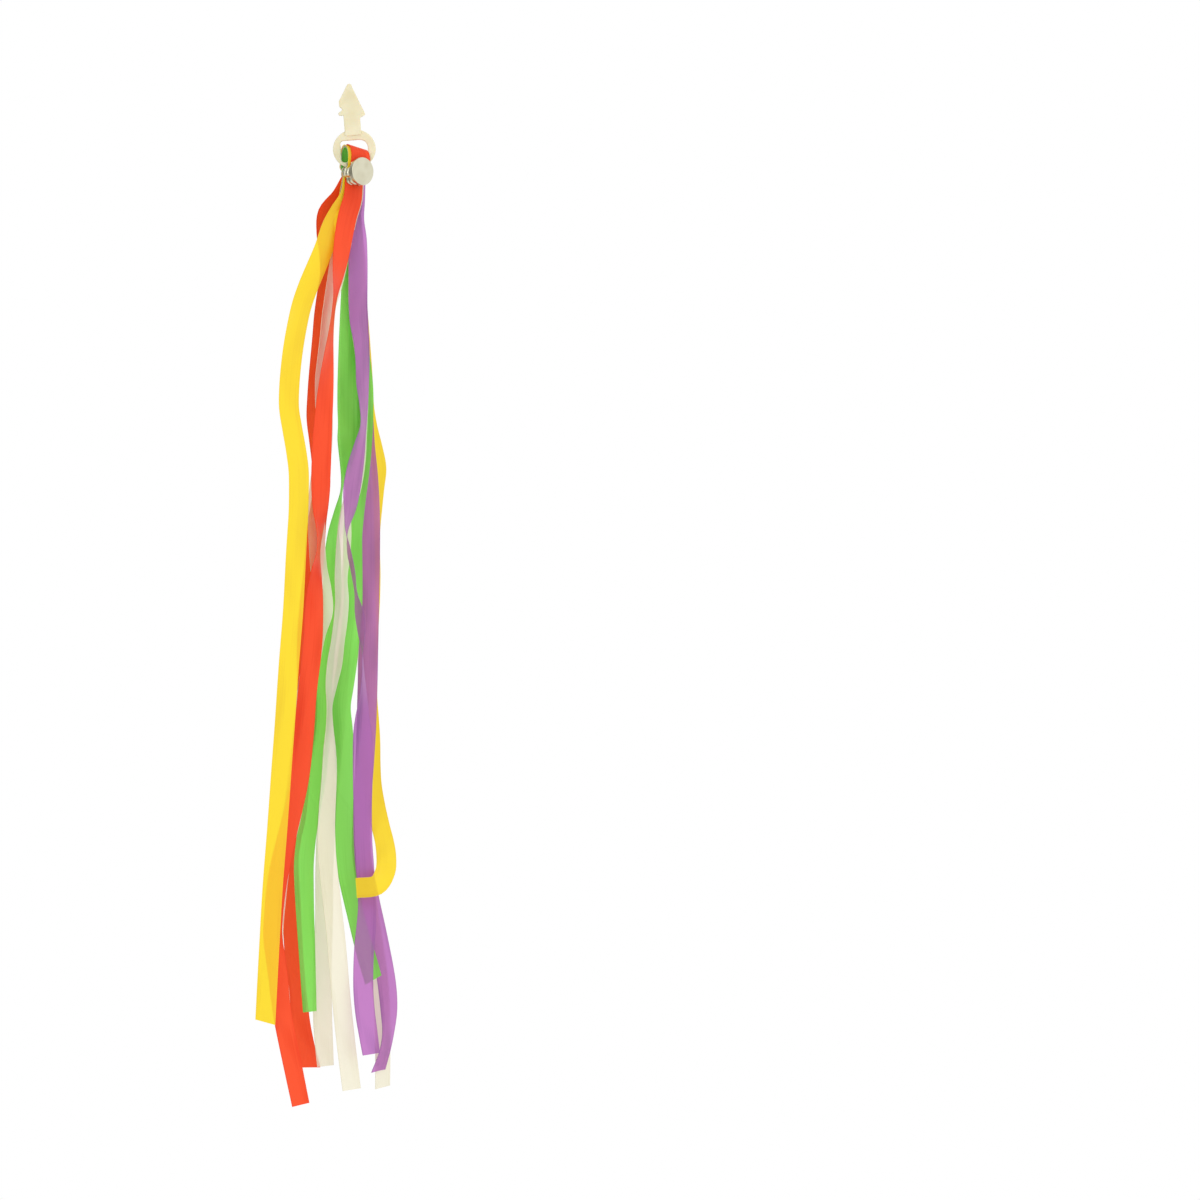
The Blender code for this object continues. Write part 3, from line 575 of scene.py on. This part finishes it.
def make_tail(ribbon, side, place, seed):
    """A tail from the rivet's grip down its route: it starts pinched and eases out to the part's own line."""
    sign = 1 if side == "front" else -1
    radius = OUTER_LOOP_RADIUS - place * LAYER_PITCH
    hinge = on_clamp(0.0, sign * radius, LEG_END_Z - TAIL_GAP)
    start = on_clamp(gripped(ribbon, side == "front"), sign * pinched(place), SEAM_Z)
    start += np.array((GRIP_X - CLAMP_X, 0.0, 0.0))
    name = f"{ribbon}_{side}"
    pull = start - hinge
    route = [(*start, CLAMP_TURN, 0.0)]
    for x, y, z, turn, rise in [(*hinge, CLAMP_TURN, 0.0)] + [(*p, 0.0)[:5] for p in ROUTES[name]]:
        held = smooth((z - LOOSE_Z) / (SEAM_Z - LOOSE_Z))
        sideways = held * min(pull[0], 0.0) + BULGES.get(name, 0.0) * 4 * held * (1 - held)
        sideways += LEANS.get(name, 0.0) * smooth((z - LEAN_LOW) / 30) * smooth((LEAN_TOP - z) / 15)
        route.append((x + sideways, y + held * pull[1], z, turn, rise))
    coarse = smooth_route(route, STATION)
    rows = smooth_route(coarse, SECTION)
    middles = rows[:, :3]
    turn, rise = np.radians(rows[:, 3]), np.radians(rows[:, 4])
    along = np.gradient(middles, axis=0)
    along[0] = -UP
    along /= np.linalg.norm(along, axis=1, keepdims=True)
    widths = np.column_stack((np.cos(turn) * np.cos(rise), np.sin(turn) * np.cos(rise), np.sin(rise)))
    widths -= along * (widths * along).sum(axis=1, keepdims=True)
    widths /= np.linalg.norm(widths, axis=1, keepdims=True)
    normals = np.cross(along, widths)
    piece = film_strip(
        f"{name}_film", middles, widths, normals, DEPTHS[ribbon], seed, cut=CUTS.get(name, 0.0)
    )
    piece.data.materials.append(FILMS[ribbon])
    node_name = f"{ribbon}_tail_{side}"
    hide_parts(node_name)
    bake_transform(piece)
    return piece


def make_loop(ribbon, place, seed):
    """The folded middle of a ribbon: half a circle over the bar, and a leg down each side to the grip.

    With s running from 0 at the fold's centre height to 1 at the seam, a leg's middle goes from the fold's
    centre line to the clamp's, its width turns from FOLD_TURN to CLAMP_TURN, and its tilt fades to nothing.
    """
    bend = np.linspace(0, math.pi, BEND_STEPS)
    drop = np.linspace(1, 0, LEG_STEPS + 1)[:-1]
    facing = np.concatenate((np.zeros(LEG_STEPS), bend, np.full(LEG_STEPS, math.pi)))
    down = np.concatenate((drop, np.zeros(BEND_STEPS), drop[::-1]))
    ease = smooth(down)
    drawn = smooth((down - GRIP_FROM) / (GRIP_TO - GRIP_FROM))
    fold = FOLD_RADIUS + (len(RIBBONS) - 1 - place) * FOLD_PITCH
    radius = fold + drawn * (pinched(place) - fold)
    turn = np.radians(FOLD_TURN + (CLAMP_TURN - FOLD_TURN) * ease)
    none = np.zeros(len(turn))
    level = np.column_stack((np.cos(turn), np.sin(turn), none))
    out = np.column_stack((np.sin(turn), -np.cos(turn), none))
    middle = FOLD_CENTRE + ease[:, None] * (np.array((GRIP_X, 0.0, FOLD_CENTRE[2])) - FOLD_CENTRE)
    middle[:, 2] += down * (SEAM_Z - FOLD_CENTRE[2])
    slip = FOLD_SLIPS.get(ribbon, OTHER_SLIP) * (1 - ease)
    slip += gripped(ribbon, (1 + np.cos(facing)) / 2) * ease
    middle += slip[:, None] * level
    middles = middle + (radius * np.cos(facing))[:, None] * out + (radius * np.sin(facing))[:, None] * UP
    normals = np.cos(facing)[:, None] * out + np.sin(facing)[:, None] * UP
    widths = level + ((1 - ease) * FOLD_TILT)[:, None] * UP
    piece = film_strip(f"{ribbon}_loop_film", middles, widths, normals, 0.0, seed)
    piece.data.materials.append(FILMS[ribbon])
    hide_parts(f"{ribbon}_loop")
    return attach(piece, "clamp")


for place, ribbon in enumerate(RIBBONS):
    make_loop(ribbon, place, place)
    make_tail(ribbon, "front", place, 2 * place + 1)
    make_tail(ribbon, "rear", place, 2 * place + 2)

# ---------------------------------------------------------------- rivet

CAP_TURN = 42.0  # the cap was pressed on a little askew
BACK_TURN = 0.5 * (CLAMP_TURN + CAP_TURN)  # of the pieces under the cap and behind the stack
CAP_THICK = 2.2
CAP_FACE = 6.55  # from the ring's middle plane out to the cap's face
RIVET_X = -0.6  # where the rivet's axis crosses that plane
GRIP = pinched(0) + 0.1  # from the stack's middle to its outer face


def on_rivet(outward, up):
    """A point on the rivet's own axis, which passes through the stack's middle, raised by up."""
    swing = math.radians(CAP_TURN)
    return np.array((RIVET_X + outward * math.sin(swing), -outward * math.cos(swing), RIVET_Z + up))


def rounded(centre, radius, start, end, steps=6):
    """Points of an arc about (radius, outward) centre, from start to end degrees."""
    angle = np.radians(np.linspace(start, end, steps + 1))
    return [(centre[0] + radius * math.cos(a), centre[1] + radius * math.sin(a)) for a in angle]


def add_metal(piece, cad_node):
    piece.data.materials.append(METAL)
    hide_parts(cad_node)
    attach(piece, "clamp")


def make_cap():
    """A pressed cap: a face barely dished in the middle, a rolled rim, straight sides and a curled lip."""
    rim = 0.4
    lip = 0.25
    profile = (
        [(0.0, CAP_THICK - 0.08), (2.4, CAP_THICK - 0.06), (3.8, CAP_THICK - 0.02)]
        + rounded((CAP_RADIUS - rim, CAP_THICK - rim), rim, 90, 0)
        + [(CAP_RADIUS, CAP_THICK - 0.75), (CAP_RADIUS - 0.5, CAP_THICK - 0.95)]
        + [(CAP_RADIUS - 0.45, CAP_THICK - 1.2)]
        + rounded((CAP_RADIUS - 0.3 - lip, lip), lip, 0, -90)
        + [(CAP_RADIUS - 0.8, 0.25), (1.6, 0.4), (0.0, 0.4)]
    )
    add_metal(turned("cap_pressing", profile, 96, on_rivet(CAP_FACE - CAP_THICK, 0.7), CAP_TURN), "snap_cap")


def make_prongs():
    """The prong ring: a flat washer whose rim stands up in six uneven prongs, bent over as it was crimped."""

    def wave(angle):
        return 1 + 0.09 * np.cos(6 * angle) + 0.035 * np.cos(11 * angle + 0.8)

    profile = (
        (0.0, 0.0),
        (3.8, 0.0),
        (4.25, 0.15),
        (4.4, 0.5),
        (4.35, 1.1),
        (4.0, 1.35),
        (4.0, 1.6),
        (4.3, 1.9),
        (4.3, 2.8),
        (4.0, 3.1),
        (0.0, 3.1),
    )
    add_metal(turned("prong_pressing", profile, 120, on_rivet(GRIP, 0.3), BACK_TURN, wave), "prong_ring")


def make_back():
    """Behind the stack: a socket with a rolled rim and a raised collar, and the tip of the post in it."""
    socket = (
        [(0.0, 0.0)]
        + rounded((2.8, -0.25), 0.25, 90, -90)
        + [(2.4, -0.5)]
        + rounded((1.9, -0.9), 0.2, 90, 0, 3)
        + rounded((1.9, -1.2), 0.2, 0, -90, 3)
        + [(1.4, -1.35), (1.35, -0.9), (0.0, -0.9)]
    )
    add_metal(turned("socket_pressing", socket, 72, on_rivet(-GRIP - 0.1, 0.2), BACK_TURN), "snap_socket")
    tip = [(0.0, 0.3), (1.1, 0.3), (1.1, -1.3)] + rounded((0.75, -1.6), 0.35, 0, -90, 4) + [(0.0, -2.0)]
    add_metal(turned("post_tip", tip, 48, on_rivet(-GRIP - 0.4, 0.2), BACK_TURN), "rivet_post")


make_cap()
make_prongs()
make_back()
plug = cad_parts["barbed_plug"]
plug.data.materials.clear()
plug.data.materials.append(PLASTIC)

# ---------------------------------------------------------------- room


def make_floor():
    """A round matt floor 60 mm below the tails: radius times (cos a, sin a), with a rim that curls down."""
    low = CAD_BOX[0].z / MM - 60
    angle = np.linspace(0, 2 * math.pi, 96, endpoint=False)
    reach = np.array((140.0, 300.0, 330.0, 340.0))
    height = low - np.array((0.0, 0.0, 2.0, 12.0))
    points = np.stack(
        (
            np.outer(reach, np.cos(angle)),
            np.outer(reach, np.sin(angle)),
            np.repeat(height[:, None], len(angle), axis=1),
        ),
        -1,
    ).reshape(-1, 3)
    faces = [tuple(range(96))] + [tuple(f[::-1]) for f in grid_faces(4, 96, True)]
    floor = solid("floor", points, faces)
    made, tree = new_material("white_board")
    place = node(tree, "ShaderNodeTexCoord")
    grain = node(tree, "ShaderNodeTexNoise", {"Vector": place.outputs["Object"]}, Scale=60.0)
    tone = ramp(tree, grain.outputs["Fac"], ((0.3, linear("EFEFED")), (0.7, linear("F6F6F4"))))
    skin = node(tree, "ShaderNodeBsdfPrincipled", {"Base Color": tone.outputs[0]}, Roughness=0.8)
    node(tree, "ShaderNodeOutputMaterial", {"Surface": skin.outputs[0]})
    floor.data.materials.append(made)


def make_light(name, place, size, watts, target):
    lamp = bpy.data.lights.new(name, "AREA")
    lamp.shape = "DISK"
    lamp.size = size
    lamp.energy = watts
    made = bpy.data.objects.new(name, lamp)
    bpy.context.scene.collection.objects.link(made)
    aim = np.array(target) - np.array(place)
    aim /= np.linalg.norm(aim)
    made.location = place
    made.rotation_euler = (math.acos(-aim[2]), 0.0, math.atan2(aim[0], -aim[1]) + math.pi)


make_floor()
world = bpy.data.worlds.new("white_room")
bpy.context.scene.world = world
world.use_nodes = True  # a white room whose far left wall is dim, which gives the metal an edge
way = node(world.node_tree, "ShaderNodeTexCoord")
parts = node(world.node_tree, "ShaderNodeSeparateXYZ", {"Vector": way.outputs["Generated"]})
dim = node(world.node_tree, "ShaderNodeMapRange", {"Value": parts.outputs["X"]}, From_Min=-0.95, From_Max=-0.45)
shade = ramp(world.node_tree, dim.outputs[0], ((0.0, (0.22, 0.22, 0.21, 1.0)), (1.0, (1.0, 1.0, 1.0, 1.0))))
world.node_tree.links.new(world.node_tree.nodes["Background"].inputs["Color"], shade.outputs[0])
make_light("key", (-0.7, -1.2, 0.5), 0.6, 3.0, (0.0, 0.0, -0.15))
bpy.context.scene.view_settings.view_transform = "Standard"
